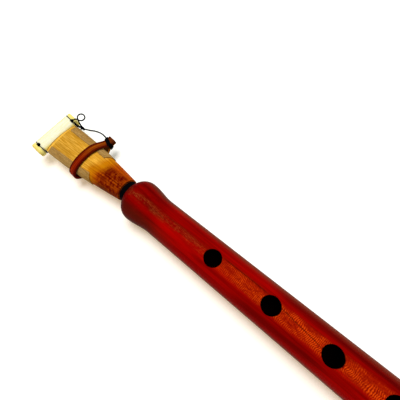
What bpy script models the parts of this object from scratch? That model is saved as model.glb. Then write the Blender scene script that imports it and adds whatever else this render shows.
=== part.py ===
"""A cylindrical double-reed pipe with its reed fitted, lying finger holes up.

The tube runs along +X to its foot. Lengths along it are counted from the head's face, so the reed,
its bridle and its cap have negative places. The axis of the tube is at y = 0.
"""

import math

import bmesh
import bpy
from mathutils import Matrix, Vector

# Fits shared by all pieces
SEAT_GAP = 0.0003
THREAD_RADIUS = 0.00035
TURN_GAP = 0.00045
TURN_POINTS = 24

# Tube
TUBE_LENGTH = 0.3750
TUBE_RADIUS = 0.0110
TUBE_FACETS = 48
BORE_RADIUS = 0.0065
BULB_RADIUS = 0.01295
BULB_PEAK = 0.0073
BULB_FADE = 0.0160
BULB_STEPS = 8
FACE_LAND = 0.0006
SOCKET_CHAMFER = 0.0004
SOCKET_SHOULDER = 0.0012
FOOT_EDGE = 0.0007
FOOT_ROUNDING = 0.3

# Finger holes, from the head's face to each hole's centre
HOLE_RADIUS = 0.0047
FIRST_HOLE = 0.0643
HOLE_STEPS = (0.0345, 0.0311, 0.0273, 0.0295, 0.0295, 0.0295, 0.0295)
HOLE_FACETS = 32
HOLE_FLARE = 0.0005
DRILL_START = 0.0016
THUMB_HOLE = 0.0815
THUMB_RADIUS = 0.0042
VENT_PLACE = 0.3050
VENT_RADIUS = 0.0032

# Reed tail and its lapping of waxed thread
TAIL_LENGTH = 0.0145
TAIL_RADIUS = 0.0051
TAIL_BORE = 0.0039
BED_WALL = 0.0004
LAPPING_SHOWN = 0.0050
SOCKET_SPARE = 0.0020

# Reed blade, from the lapping to the lips
BLADE_LENGTH = 0.0778
THROAT_RADIUS = 0.0074
MOUTH_HALF_WIDTH = 0.0126
MOUTH_HALF_HEIGHT = 0.0015
BLADE_WALL = 0.0013
LIP_WALL = 0.00055
WIDTH_POWER = 2.2
HEIGHT_POWER = 1.3
LENS_POWER = 1.35
LENS_FROM = 0.40
THROAT_EASE = 0.25
BLADE_LEAN = 0.00120
BLADE_RINGS = 18
BLADE_POINTS = 32

# Paper tapes folded round the blade's two edges
TAPE_START = 0.0285
LEFT_TAPE_END = 0.0711
RIGHT_TAPE_END = 0.0694
TAPE_WALL = 0.00025
TAPE_HALF_THROAT = 0.0072
TAPE_HALF_MOUTH = 0.0047
TAPE_RINGS = 12
TAPE_POINTS = 14

# Bridle, a bent wooden strip whose two ends are bound together
BRIDLE_PLACE = 0.0414
BRIDLE_YAW = math.radians(4.5)
STRIP_WIDTH = 0.0058
STRIP_WALL = 0.0015
STRIP_EDGE = 0.00035
STRIP_END = 0.0200
STRIP_MEET = 0.0172
STRIP_MEET_POWER = 1.55
STRIP_RINGS = 12
BRIDLE_TO_LIPS = 0.0050
BRIDLE_TO_TUBE = 0.0020
BINDING_PLACE = 0.0165
BINDING_TURNS = 2
BINDING_POWER = 6
BINDING_START = math.radians(90)

# Cap, a split wooden stick that holds the lips shut
CAP_PLACE = 0.0777
CAP_SIDE = -0.0012
CAP_YAW = math.radians(4.0)
CAP_LENGTH = 0.0336
CAP_HALF_WIDTH = 0.0055
CAP_HALF_HEIGHT = 0.0038
CAP_POWER = 2.6
CAP_ARC_POINTS = 18
CAP_END_EDGE = 0.0005
LIP_CLEARANCE = 0.00035
LIP_HOLLOW_POINTS = 48
LEFT_TIE_PLACE = -0.0129
RIGHT_TIE_PLACE = 0.0140
TIE_NOTCH = 0.0009
TIE_NOTCH_HALF = 0.0006
TIE_NOTCH_SLOPE = 0.00036
TIE_POINTS = 32
KNOT_RADII = (0.00085, 0.00090, 0.00065)
KNOT_LIFT = 0.0004
LEFT_KNOT_TURN = math.radians(84)
RIGHT_KNOT_TURN = math.radians(52)

# Tether between cap and bridle, as points of its route from the head's face and the tube's axis
TETHER_LOOP_ROUTE = (
    (-0.0719, 0.0135, 0.0043),
    (-0.0712, 0.0147, 0.0045),
    (-0.0700, 0.0154, 0.0043),
    (-0.0680, 0.0159, 0.0039),
    (-0.0667, 0.0172, 0.0036),
    (-0.0669, 0.0192, 0.0033),
    (-0.0689, 0.0206, 0.0031),
    (-0.0715, 0.0207, 0.0030),
    (-0.0732, 0.0195, 0.0029),
    (-0.0735, 0.0179, 0.0028),
    (-0.0728, 0.0168, 0.0026),
    (-0.0715, 0.0160, 0.0023),
    (-0.0697, 0.0151, 0.0019),
    (-0.0677, 0.0144, 0.0013),
    (-0.0664, 0.0140, 0.0008),
)
TETHER_KNOT = (-0.0651, 0.0134, 0.0004)
TETHER_KNOT_RADII = (0.0011, 0.0009, 0.0008)
TETHER_TAIL_ROUTE = (
    (-0.0703, 0.0122, 0.0018),
    (-0.0691, 0.0122, 0.0017),
    (-0.0678, 0.0124, 0.0013),
    (-0.0664, 0.0129, 0.0006),
)
TETHER_RUN_ROUTE = (
    (-0.0637, 0.0137, 0.0005),
    (-0.0617, 0.0142, 0.0007),
    (-0.0578, 0.0155, 0.0010),
    (-0.0549, 0.0167, 0.0013),
    (-0.0521, 0.0175, 0.0016),
    (-0.0479, 0.0181, 0.0019),
    (-0.0443, 0.0178, 0.0018),
)
TETHER_STEP = 0.0012

# Sizes that follow from the ones above
BED_RADIUS = TAIL_RADIUS + SEAT_GAP + BED_WALL
LAPPING_RADIUS = BED_RADIUS + SEAT_GAP + 2 * THREAD_RADIUS
SOCKET_RADIUS = LAPPING_RADIUS + SEAT_GAP
SOCKET_DEPTH = TAIL_LENGTH + SOCKET_SPARE
TURN_PITCH = 2 * THREAD_RADIUS + TURN_GAP
AXIS_HEIGHT = BULB_RADIUS * math.cos(math.pi / TUBE_FACETS)
CAP_REACH = CAP_PLACE + CAP_HALF_WIDTH * math.cos(CAP_YAW) + 0.5 * CAP_LENGTH * math.sin(CAP_YAW)
REED_REACH = max(CAP_REACH, LAPPING_SHOWN + BLADE_LENGTH)
ROW_X = (REED_REACH - TUBE_LENGTH) / 2

SMOOTH_BELOW = math.radians(40)


def make_material(name, colour, roughness, metallic=0.0):
    material = bpy.data.materials.new(name)
    material.use_nodes = True
    shader = material.node_tree.nodes["Principled BSDF"]
    shader.inputs["Base Color"].default_value = (*colour, 1.0)
    shader.inputs["Roughness"].default_value = roughness
    shader.inputs["Metallic"].default_value = metallic
    return material


def add_empty(name, location, parent=None, yaw=0.0):
    empty = bpy.data.objects.new(name, None)
    bpy.context.scene.collection.objects.link(empty)
    empty.parent = parent
    empty.location = location
    empty.rotation_euler = (0.0, 0.0, yaw)
    return empty


def add_object(name, data, parent, material):
    """Links a named piece under its parent and gives it its one material."""
    piece = bpy.data.objects.new(name, data)
    bpy.context.scene.collection.objects.link(piece)
    piece.parent = parent
    if material:
        data.materials.append(material)
    return piece


def hide_helper(helper):
    helper.hide_render = True
    helper.display_type = "WIRE"


def mesh_from(bm, name, smooth=True):
    """Turns the bmesh into a mesh whose faces point out."""
    bmesh.ops.recalc_face_normals(bm, faces=bm.faces)
    mesh = bpy.data.meshes.new(name)
    bm.to_mesh(mesh)
    bm.free()
    if smooth:
        mesh.shade_smooth()
        mesh.set_sharp_from_angle(angle=SMOOTH_BELOW)
    return mesh


def turned_mesh(name, profile, facets):
    """Spins a closed outline of (place along X, radius) round the X axis, a flat facet lowest."""
    bm = bmesh.new()
    start = math.pi / facets
    corners = [bm.verts.new((x, r * math.sin(start), r * math.cos(start))) for x, r in profile]
    edges = [bm.edges.new((a, b)) for a, b in zip(corners, corners[1:] + corners[:1])]
    bmesh.ops.spin(
        bm,
        geom=corners + edges,
        cent=(0, 0, 0),
        axis=(1, 0, 0),
        angle=math.tau,
        steps=facets,
        use_merge=True,
    )
    return mesh_from(bm, name)


def skinned_bmesh(rings, ring_shaped=False):
    """Faces between rings of points. A ring-shaped skin joins its last ring to its first."""
    bm = bmesh.new()
    rows = [[bm.verts.new(point) for point in ring] for ring in rings]
    pairs = list(zip(rows, rows[1:]))
    if ring_shaped:
        pairs.append((rows[-1], rows[0]))
    for near, far in pairs:
        for j in range(len(near)):
            k = (j + 1) % len(near)
            bm.faces.new((near[j], near[k], far[k], far[j]))
    if not ring_shaped:
        bm.faces.new(rows[0])
        bm.faces.new(rows[-1])
    return bm


def smooth_curve(route, step):
    """Points about one step apart on a smooth curve through the route's own points."""
    places = [Vector(point) for point in route]
    ends = [2 * places[0] - places[1]] + places + [2 * places[-1] - places[-2]]
    points = []
    for a, b, c, d in zip(ends, ends[1:], ends[2:], ends[3:]):
        count = max(2, round((c - b).length / step))
        for i in range(count):
            t = i / count
            points.append(
                0.5
                * (
                    2 * b
                    + (c - a) * t
                    + (2 * a - 5 * b + 4 * c - d) * t**2
                    + (3 * b - a - 3 * c + d) * t**3
                )
            )
    points.append(places[-1])
    return points


def thread_curve(name, points, resolution, closed=False):
    curve = bpy.data.curves.new(name, "CURVE")
    curve.dimensions = "3D"
    curve.bevel_depth = THREAD_RADIUS
    curve.bevel_resolution = resolution
    curve.use_fill_caps = not closed
    spline = curve.splines.new("POLY")
    spline.points.add(len(points) - 1)
    for point, place in zip(spline.points, points):
        point.co = (*place, 1.0)
    spline.use_cyclic_u = closed
    return curve


def print_least_gap(name, points, skip):
    """Prints the least open gap between strands that are more than skip points apart."""
    least = min(
        (a - b).length for i, a in enumerate(points) for b in points[i + skip :]
    )
    print(f"{name}: least gap to itself {1000 * (least - 2 * THREAD_RADIUS):.2f} mm")


def rounded(value):
    """Smooth rise from 0 to 1."""
    value = min(max(value, 0.0), 1.0)
    return value * value * (3 - 2 * value)


def super_arc(half_width, half_height, power, angle):
    """Point of a rounded oval at an angle from its wide axis."""
    c = math.cos(angle)
    s = math.sin(angle)
    return (
        math.copysign(half_width * abs(c) ** (2 / power), c),
        math.copysign(half_height * abs(s) ** (2 / power), s),
    )


# Tube


def hole_places():
    places = [FIRST_HOLE]
    for step in HOLE_STEPS:
        places.append(places[-1] + step)
    return places


def tube_profile():
    """Outline of the wall: domed head, long straight barrel, foot, bore and reed socket."""
    face_radius = SOCKET_RADIUS + SOCKET_CHAMFER + FACE_LAND
    rise = BULB_RADIUS - face_radius
    dome_radius = (BULB_PEAK**2 + rise**2) / (2 * rise)
    profile = [(0.0, SOCKET_RADIUS + SOCKET_CHAMFER)]
    sweep = math.asin(BULB_PEAK / dome_radius)
    for i in range(BULB_STEPS):
        angle = sweep * (1 - i / (BULB_STEPS - 1))
        profile.append(
            (
                BULB_PEAK - dome_radius * math.sin(angle),
                BULB_RADIUS - dome_radius * (1 - math.cos(angle)),
            )
        )
    for i in range(1, BULB_STEPS + 1):
        ease = 0.5 * (1 + math.cos(math.pi * i / BULB_STEPS))
        radius = TUBE_RADIUS + (BULB_RADIUS - TUBE_RADIUS) * ease
        profile.append((BULB_PEAK + BULB_FADE * i / BULB_STEPS, radius))
    places = hole_places()
    middles = [(a + b) / 2 for a, b in zip(places, places[1:])]
    middles += [places[0] - HOLE_STEPS[0] / 2, (places[-1] + VENT_PLACE) / 2]
    middles += [(VENT_PLACE + TUBE_LENGTH) / 2]
    middles = sorted(middles)
    profile += [(x, TUBE_RADIUS) for x in middles]
    profile.append((TUBE_LENGTH - FOOT_EDGE, TUBE_RADIUS))
    rounding = FOOT_ROUNDING * FOOT_EDGE
    profile.append((TUBE_LENGTH - rounding, TUBE_RADIUS - rounding))
    profile.append((TUBE_LENGTH, TUBE_RADIUS - FOOT_EDGE))
    profile.append((TUBE_LENGTH, BORE_RADIUS + FOOT_EDGE))
    profile.append((TUBE_LENGTH - FOOT_EDGE, BORE_RADIUS))
    profile += [(x, BORE_RADIUS) for x in reversed(middles[1::2])]
    profile.append((SOCKET_DEPTH + SOCKET_SHOULDER, BORE_RADIUS))
    profile.append((SOCKET_DEPTH, SOCKET_RADIUS))
    profile.append((SOCKET_CHAMFER, SOCKET_RADIUS))
    return profile


def add_hole_cutter(bm, place, radius, side):
    """One drill shape through the wall, flared where it leaves the tube. side is 1 for the top."""
    rim = TUBE_RADIUS - 0.5 * HOLE_FLARE
    levels = (
        (DRILL_START, radius),
        (rim - HOLE_FLARE, radius),
        (rim + HOLE_FLARE, radius + HOLE_FLARE),
        (TUBE_RADIUS + 2 * HOLE_FLARE, radius + 2 * HOLE_FLARE),
    )
    rings = []
    for height, size in levels:
        rings.append(
            [
                (
                    place + size * math.cos(math.tau * k / HOLE_FACETS),
                    size * math.sin(math.tau * k / HOLE_FACETS),
                    side * height,
                )
                for k in range(HOLE_FACETS)
            ]
        )
    drill = skinned_bmesh(rings)
    bmesh.ops.recalc_face_normals(drill, faces=drill.faces)
    mesh = bpy.data.meshes.new("drill")
    drill.to_mesh(mesh)
    drill.free()
    bm.from_mesh(mesh)
    bpy.data.meshes.remove(mesh)


def build_tube(parent, material):
    tube = add_object(
        "body_tube", turned_mesh("body_tube", tube_profile(), TUBE_FACETS), parent, material
    )
    bm = bmesh.new()
    for place in hole_places():
        add_hole_cutter(bm, place, HOLE_RADIUS, 1)
    add_hole_cutter(bm, THUMB_HOLE, THUMB_RADIUS, -1)
    add_hole_cutter(bm, VENT_PLACE, VENT_RADIUS, -1)
    drills = add_object("hole_drills", mesh_from(bm, "hole_drills"), parent, None)
    hide_helper(drills)
    cut = tube.modifiers.new("finger holes", "BOOLEAN")
    cut.operation = "DIFFERENCE"
    cut.object = drills


# Reed


def blade_share(place):
    """How far along the blade a place is, 0 at the lapping and 1 at the lips."""
    return (-place - LAPPING_SHOWN) / BLADE_LENGTH


def blade_half_width(share):
    return THROAT_RADIUS + (MOUTH_HALF_WIDTH - THROAT_RADIUS) * (1 - (1 - share) ** WIDTH_POWER)


def blade_half_height(share):
    ease = 0.5 * (1 + math.cos(math.pi * share**HEIGHT_POWER))
    return MOUTH_HALF_HEIGHT + (THROAT_RADIUS - MOUTH_HALF_HEIGHT) * ease


def blade_side(share):
    """Sideways place of the blade's middle: cane is never quite straight."""
    return -BLADE_LEAN * share


def lens_power(share):
    """Sharpness of the blade's edges, 1 while the section is an oval."""
    return 1 + (LENS_POWER - 1) * rounded((share - LENS_FROM) / (1 - LENS_FROM))


def blade_point(place, angle):
    """Point of the blade's outside at an angle from its right edge."""
    share = blade_share(place)
    s = math.sin(angle)
    height = blade_half_height(share) * math.copysign(abs(s) ** lens_power(share), s)
    return Vector((place, blade_side(share) + blade_half_width(share) * math.cos(angle), height))


def point_over_blade(place, angle, proud):
    """Point that stands proud of the blade's outside, square to its section."""
    step = math.radians(0.5)
    along = blade_point(place, angle + step) - blade_point(place, angle - step)
    out = Vector((0.0, along.z, -along.y)).normalized()
    return blade_point(place, angle) + out * proud


def blade_inner_point(place, angle):
    """Point of the blade's hollow, which opens from the tail's bore to the slit of the lips."""
    share = blade_share(place)
    wall = LIP_WALL + (BLADE_WALL - LIP_WALL) * (1 - share)
    opened = rounded(share / THROAT_EASE)
    half_width = TAIL_BORE + (blade_half_width(share) - 2 * wall - TAIL_BORE) * opened
    half_height = TAIL_BORE + (blade_half_height(share) - wall - TAIL_BORE) * opened
    s = math.sin(angle)
    return Vector(
        (
            place,
            blade_side(share) + half_width * math.cos(angle),
            half_height * math.copysign(abs(s) ** lens_power(share), s),
        )
    )


def round_ring(place, radius, count):
    return [
        Vector((place, radius * math.cos(math.tau * k / count), radius * math.sin(math.tau * k / count)))
        for k in range(count)
    ]


def build_reed_cane(parent, material):
    angles = [math.tau * k / BLADE_POINTS for k in range(BLADE_POINTS)]
    places = [
        -LAPPING_SHOWN - BLADE_LENGTH * i / (BLADE_RINGS - 1) for i in range(BLADE_RINGS)
    ]
    rings = [round_ring(TAIL_LENGTH, TAIL_RADIUS, BLADE_POINTS)]
    rings.append(round_ring(-LAPPING_SHOWN, TAIL_RADIUS, BLADE_POINTS))
    rings.append(round_ring(-LAPPING_SHOWN, THROAT_RADIUS - 0.5 * SEAT_GAP, BLADE_POINTS))
    rings.append([blade_point(-LAPPING_SHOWN - 0.5 * SEAT_GAP, angle) for angle in angles])
    rings += [[blade_point(place, angle) for angle in angles] for place in places[1:]]
    rings += [[blade_inner_point(place, angle) for angle in angles] for place in reversed(places)]
    rings.append(round_ring(TAIL_LENGTH, TAIL_BORE, BLADE_POINTS))
    mesh = mesh_from(skinned_bmesh(rings, ring_shaped=True), "reed_cane")
    add_object("reed_cane", mesh, parent, material)


def tape_half_angle(place):
    """Angle from the blade's edge over which the tape has its own half width."""
    along = (-place - TAPE_START) / (LEFT_TAPE_END - TAPE_START)
    wanted = TAPE_HALF_THROAT + (TAPE_HALF_MOUTH - TAPE_HALF_THROAT) * along
    step = math.radians(1)
    angle = 0.0
    length = 0.0
    while length < wanted and angle < math.radians(85):
        length += (blade_point(place, angle + step) - blade_point(place, angle)).length
        angle += step
    return angle


def build_tape(name, parent, material, middle, tape_end):
    """A strip that follows the blade's edge, folded from its upper face to its lower one."""
    rings = []
    for i in range(TAPE_RINGS):
        place = -TAPE_START - (tape_end - TAPE_START) * i / (TAPE_RINGS - 1)
        half = tape_half_angle(place)
        angles = [middle + half * (2 * k / (TAPE_POINTS - 1) - 1) for k in range(TAPE_POINTS)]
        ring = [point_over_blade(place, angle, SEAT_GAP + TAPE_WALL) for angle in angles]
        ring += [point_over_blade(place, angle, SEAT_GAP) for angle in reversed(angles)]
        rings.append(ring)
    add_object(name, mesh_from(skinned_bmesh(rings), name), parent, material)


def build_lapping(parent, bed_material, thread_material):
    """Thread wound on the reed's tail: plain under-layers, and the outer layer's own turns."""
    start = -LAPPING_SHOWN + SEAT_GAP
    bed = [
        (start, TAIL_RADIUS + SEAT_GAP),
        (start, BED_RADIUS),
        (TAIL_LENGTH, BED_RADIUS),
        (TAIL_LENGTH, TAIL_RADIUS + SEAT_GAP),
    ]
    add_object("lapping_bed", turned_mesh("lapping_bed", bed, BLADE_POINTS), parent, bed_material)
    radius = LAPPING_RADIUS - THREAD_RADIUS
    first = start + THREAD_RADIUS
    turns = int((TAIL_LENGTH - THREAD_RADIUS - first) / TURN_PITCH)
    points = []
    for i in range(turns * TURN_POINTS + 1):
        angle = math.tau * i / TURN_POINTS
        points.append(
            Vector(
                (
                    first + TURN_PITCH * i / TURN_POINTS,
                    radius * math.cos(angle),
                    radius * math.sin(angle),
                )
            )
        )
    print_least_gap("lapping_thread", points, TURN_POINTS // 2)
    straight_in = points[0] - 2 * THREAD_RADIUS * Vector((0.0, 0.0, 1.0))
    straight_out = points[-1] + 2 * THREAD_RADIUS * Vector((0.0, 0.0, 1.0))
    curve = thread_curve("lapping_thread", [straight_in] + points + [straight_out], 1)
    add_object("lapping_thread", curve, parent, thread_material)


# Bridle


def strip_height():
    """Height of the strip's middle over the blade, which stays clear as the bridle slides."""
    nearest_tube = BRIDLE_PLACE - BRIDLE_TO_TUBE - STRIP_WIDTH / 2
    return blade_half_height(blade_share(-nearest_tube)) + SEAT_GAP + STRIP_WALL / 2


def strip_level(side):
    """Height of the upper leg's middle as it comes down to meet the lower leg."""
    together = (STRIP_WALL + SEAT_GAP) / 2
    along = min(side / STRIP_MEET, 1.0) ** STRIP_MEET_POWER
    ease = 0.5 * (1 + math.cos(math.pi * along))
    return together + (strip_height() - together) * ease


def strip_middle_line():
    """The strip's middle line as (side, height), from its lower end round the blade to its upper."""
    nearest_lips = BRIDLE_PLACE + BRIDLE_TO_LIPS + STRIP_WIDTH / 2
    proud = SEAT_GAP + STRIP_WALL / 2
    tape = SEAT_GAP + TAPE_WALL
    share = blade_share(-nearest_lips)
    reach = blade_half_width(share) + tape + proud - blade_side(share)
    reach += math.sin(BRIDLE_YAW) * STRIP_WIDTH / 4
    upper = []
    for i in range(1, STRIP_RINGS):
        angle = math.pi - 0.5 * math.pi * i / STRIP_RINGS
        upper.append((reach * math.cos(angle), strip_height() * math.sin(angle)))
    for i in range(STRIP_RINGS + 1):
        side = STRIP_END * i / STRIP_RINGS
        upper.append((side, strip_level(side)))
    lower = [(side, -level) for side, level in reversed(upper)]
    return lower + [(-reach, 0.0)] + upper


def build_bridle_strip(parent, material):
    line = [Vector((0.0, side, level)) for side, level in strip_middle_line()]
    half = STRIP_WIDTH / 2
    rim = STRIP_WALL / 2
    outline = (
        (half, rim - STRIP_EDGE),
        (half - STRIP_EDGE, rim),
        (STRIP_EDGE - half, rim),
        (-half, rim - STRIP_EDGE),
        (-half, STRIP_EDGE - rim),
        (STRIP_EDGE - half, -rim),
        (half - STRIP_EDGE, -rim),
        (half, STRIP_EDGE - rim),
    )
    rings = []
    for i, centre in enumerate(line):
        ahead = line[min(i + 1, len(line) - 1)] - line[max(i - 1, 0)]
        ahead.normalize()
        out = Vector((1.0, 0.0, 0.0)).cross(ahead)
        rings.append([centre + Vector((x, 0.0, 0.0)) + out * rise for x, rise in outline])
    mesh = mesh_from(skinned_bmesh(rings), "bridle_strip")
    add_object("bridle_strip", mesh, parent, material)


def build_bridle_binding(parent, material):
    """Thread wound round the strip's two ends, which holds them together."""
    near_edge = BINDING_PLACE - BINDING_TURNS * TURN_PITCH / 2 - THREAD_RADIUS
    half_width = STRIP_WIDTH / 2 + 2 * SEAT_GAP + THREAD_RADIUS
    half_height = strip_level(near_edge) + STRIP_WALL / 2 + SEAT_GAP + THREAD_RADIUS
    points = []
    for i in range(BINDING_TURNS * TURN_POINTS + 1):
        angle = BINDING_START + math.tau * i / TURN_POINTS
        x, z = super_arc(half_width, half_height, BINDING_POWER, angle)
        side = BINDING_PLACE + TURN_PITCH * (i / TURN_POINTS - BINDING_TURNS / 2)
        points.append(Vector((x, side, z)))
    print_least_gap("bridle_binding", points, TURN_POINTS // 2)
    curve = thread_curve("bridle_binding", points, 1)
    add_object("bridle_binding", curve, parent, material)


# Cap


def build_cap_board(name, parent, material, hollow, flip):
    """Half of a rounded stick, notched at its sides for the ties and hollowed for the lips."""
    outline = []
    for i in range(CAP_ARC_POINTS + 1):
        x, z = super_arc(
            CAP_HALF_WIDTH,
            CAP_HALF_HEIGHT - SEAT_GAP / 2,
            CAP_POWER,
            math.pi * i / CAP_ARC_POINTS,
        )
        outline.append((x, z + SEAT_GAP / 2))
    stations = [(-CAP_LENGTH / 2, CAP_END_EDGE, CAP_END_EDGE)]
    stations.append((CAP_END_EDGE - CAP_LENGTH / 2, 0.0, 0.0))
    for tie in (LEFT_TIE_PLACE, RIGHT_TIE_PLACE):
        stations.append((tie - TIE_NOTCH_HALF - TIE_NOTCH_SLOPE, 0.0, 0.0))
        stations.append((tie - TIE_NOTCH_HALF, TIE_NOTCH, 0.0))
        stations.append((tie + TIE_NOTCH_HALF, TIE_NOTCH, 0.0))
        stations.append((tie + TIE_NOTCH_HALF + TIE_NOTCH_SLOPE, 0.0, 0.0))
    stations.append((CAP_LENGTH / 2 - CAP_END_EDGE, 0.0, 0.0))
    stations.append((CAP_LENGTH / 2, CAP_END_EDGE, CAP_END_EDGE))
    rings = []
    for side, narrower, lower in stations:
        across = 1 - narrower / CAP_HALF_WIDTH
        up = 1 - lower / CAP_HALF_HEIGHT
        rings.append(
            [
                Vector((x * across, side, SEAT_GAP / 2 + (z - SEAT_GAP / 2) * up))
                for x, z in outline
            ]
        )
    mesh = mesh_from(skinned_bmesh(rings), name)
    if flip:
        mesh.transform(Matrix.Scale(-1, 4, (0, 0, 1)))
        mesh.flip_normals()
    board = add_object(name, mesh, parent, material)
    carve = board.modifiers.new("lip hollow", "BOOLEAN")
    carve.operation = "DIFFERENCE"
    carve.object = hollow


def build_lip_hollow(parent):
    """The space for the lips: as high as the blade where it enters, as wide as at its mouth."""
    entry = CAP_HALF_WIDTH - CAP_PLACE
    beyond = CAP_LENGTH / 2
    widen = MOUTH_HALF_WIDTH / blade_half_width(blade_share(entry))
    entry_side = blade_side(blade_share(entry))
    rings = []
    for place in (entry + beyond, -CAP_PLACE - beyond):
        ring = []
        for k in range(LIP_HOLLOW_POINTS):
            angle = math.tau * k / LIP_HOLLOW_POINTS
            point = point_over_blade(entry, angle, LIP_CLEARANCE)
            side = blade_side(1.0) + widen * (point.y - entry_side)
            ring.append(Vector((place, side, point.z)))
        rings.append(ring)
    hollow = add_object("lip_hollow", mesh_from(skinned_bmesh(rings), "lip_hollow"), parent, None)
    hide_helper(hollow)
    return hollow


def add_knot(name, parent, place, radii, tilt=0.0):
    """A small pulled-tight knot, flattened along the direction that tilt turns from upright."""
    bm = bmesh.new()
    bmesh.ops.create_icosphere(bm, subdivisions=2, radius=1.0)
    bmesh.ops.scale(bm, vec=radii, verts=bm.verts)
    knot = add_object(name, mesh_from(bm, name), parent, None)
    knot.location = place
    knot.rotation_euler = (0.0, tilt, 0.0)
    return knot


def build_cap_tie(name, parent, material, side, knot_turn):
    """A ring of thread round both boards, its knot on the upper board."""
    half_width = CAP_HALF_WIDTH - TIE_NOTCH + SEAT_GAP + THREAD_RADIUS
    half_height = CAP_HALF_HEIGHT + SEAT_GAP + THREAD_RADIUS
    points = []
    for i in range(TIE_POINTS):
        angle = math.tau * (i + 0.5) / TIE_POINTS
        x, z = super_arc(half_width, half_height, CAP_POWER, angle)
        points.append((x, side, z))
    curve = thread_curve(name, points, 1, closed=True)
    guide = bpy.data.objects.new(name + "_guide", curve)
    mesh = bpy.data.meshes.new_from_object(guide)
    bpy.data.objects.remove(guide)
    mesh.shade_smooth()
    mesh.materials.clear()
    tie = add_object(name, mesh, parent, material)
    x, z = super_arc(half_width, half_height, CAP_POWER, knot_turn)
    high_x, high_z = super_arc(
        half_width + KNOT_LIFT, half_height + KNOT_LIFT, CAP_POWER, knot_turn
    )
    tilt = math.atan2(high_x - x, high_z - z)
    knot = add_knot(name + "_knot", parent, (high_x, side, high_z), KNOT_RADII, tilt)
    hide_helper(knot)
    join = tie.modifiers.new("knot", "BOOLEAN")
    join.operation = "UNION"
    join.object = knot


# Tether


def build_tether(parent, material):
    """Thread from the cap's right tie through a small loop to a knot, and on to the bridle."""
    for name, route in (
        ("tether_loop", TETHER_LOOP_ROUTE),
        ("tether_tail", TETHER_TAIL_ROUTE),
        ("tether_thread", TETHER_RUN_ROUTE),
    ):
        points = smooth_curve(route, TETHER_STEP)
        if name == "tether_loop":
            print_least_gap(name, points, 5)
        add_object(name, thread_curve(name, points, 2), parent, material)
    knot = add_knot("tether_knot", parent, TETHER_KNOT, TETHER_KNOT_RADII)
    knot.data.materials.append(material)


def main():
    for old in list(bpy.data.objects):
        bpy.data.objects.remove(old)

    stained_wood = make_material("stained_wood", (0.19, 0.010, 0.006), 0.28)
    cane = make_material("cane", (0.66, 0.37, 0.08), 0.45)
    paper = make_material("paper_tape", (0.35, 0.24, 0.13), 0.70)
    thread = make_material("waxed_thread", (0.012, 0.011, 0.012), 0.50)
    strip_wood = make_material("strip_wood", (0.17, 0.035, 0.010), 0.35)
    pale_wood = make_material("pale_wood", (0.84, 0.80, 0.55), 0.50)

    instrument = add_empty("instrument", (ROW_X, 0.0, AXIS_HEIGHT))
    build_tube(instrument, stained_wood)

    reed = add_empty("reed_joint", (0.0, 0.0, 0.0), instrument)
    build_reed_cane(reed, cane)
    build_tape("reed_tape_right", reed, paper, 0.0, RIGHT_TAPE_END)
    build_tape("reed_tape_left", reed, paper, math.pi, LEFT_TAPE_END)
    build_lapping(reed, thread, thread)

    bridle = add_empty("bridle_joint", (-BRIDLE_PLACE, 0.0, 0.0), reed, -BRIDLE_YAW)
    build_bridle_strip(bridle, strip_wood)
    build_bridle_binding(bridle, thread)

    hollow = build_lip_hollow(reed)
    cap = add_empty("cap_joint", (-CAP_PLACE, CAP_SIDE, 0.0), reed, -CAP_YAW)
    build_cap_board("cap_board_upper", cap, pale_wood, hollow, False)
    build_cap_board("cap_board_lower", cap, pale_wood, hollow, True)
    build_cap_tie("cap_tie_left", cap, thread, LEFT_TIE_PLACE, LEFT_KNOT_TURN)
    build_cap_tie("cap_tie_right", cap, thread, RIGHT_TIE_PLACE, RIGHT_KNOT_TURN)
    build_tether(reed, thread)


main()
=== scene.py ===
"""Looks of a cylindrical double-reed pipe that lies finger holes up on a white table.

Places along the pipe are counted from the head's face, so the reed, its bridle and its cap have
negative places. place() turns them into the row frame.
"""

import math

import bmesh
import bpy
from mathutils import Matrix, Vector


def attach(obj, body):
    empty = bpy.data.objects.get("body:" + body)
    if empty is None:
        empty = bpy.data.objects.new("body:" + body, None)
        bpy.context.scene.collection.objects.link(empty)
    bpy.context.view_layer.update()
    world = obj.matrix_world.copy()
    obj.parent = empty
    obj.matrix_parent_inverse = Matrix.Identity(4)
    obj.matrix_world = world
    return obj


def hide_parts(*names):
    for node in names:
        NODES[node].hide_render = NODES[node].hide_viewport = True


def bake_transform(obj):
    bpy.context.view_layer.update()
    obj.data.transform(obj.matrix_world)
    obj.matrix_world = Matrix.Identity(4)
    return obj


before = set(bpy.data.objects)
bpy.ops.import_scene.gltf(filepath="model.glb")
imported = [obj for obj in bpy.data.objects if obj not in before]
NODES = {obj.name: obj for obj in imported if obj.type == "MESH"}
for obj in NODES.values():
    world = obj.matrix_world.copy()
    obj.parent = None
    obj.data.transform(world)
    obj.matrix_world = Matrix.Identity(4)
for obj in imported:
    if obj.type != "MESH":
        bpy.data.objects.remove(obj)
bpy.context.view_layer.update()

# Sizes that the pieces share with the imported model, in metres
ROW_X = -0.14532074
AXIS_HEIGHT = 0.01292227
SEAT_GAP = 0.0003
THREAD_RADIUS = 0.00035

# Reed: its wound tail, then the blade with powers that shape its outline and its section
TAIL_LENGTH = 0.0145
TAIL_RADIUS = 0.0051
LAPPING_SHOWN = 0.0050
LAPPING_RADIUS = 0.0068
BLADE_LENGTH = 0.0778
THROAT_RADIUS = 0.0074
MOUTH_HALF_WIDTH = 0.0126
MOUTH_HALF_HEIGHT = 0.0015
BLADE_LEAN = 0.0012
WIDTH_POWER = 2.2
HEIGHT_POWER = 1.3
LENS_POWER = 1.35
LENS_FROM = 0.40

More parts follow.
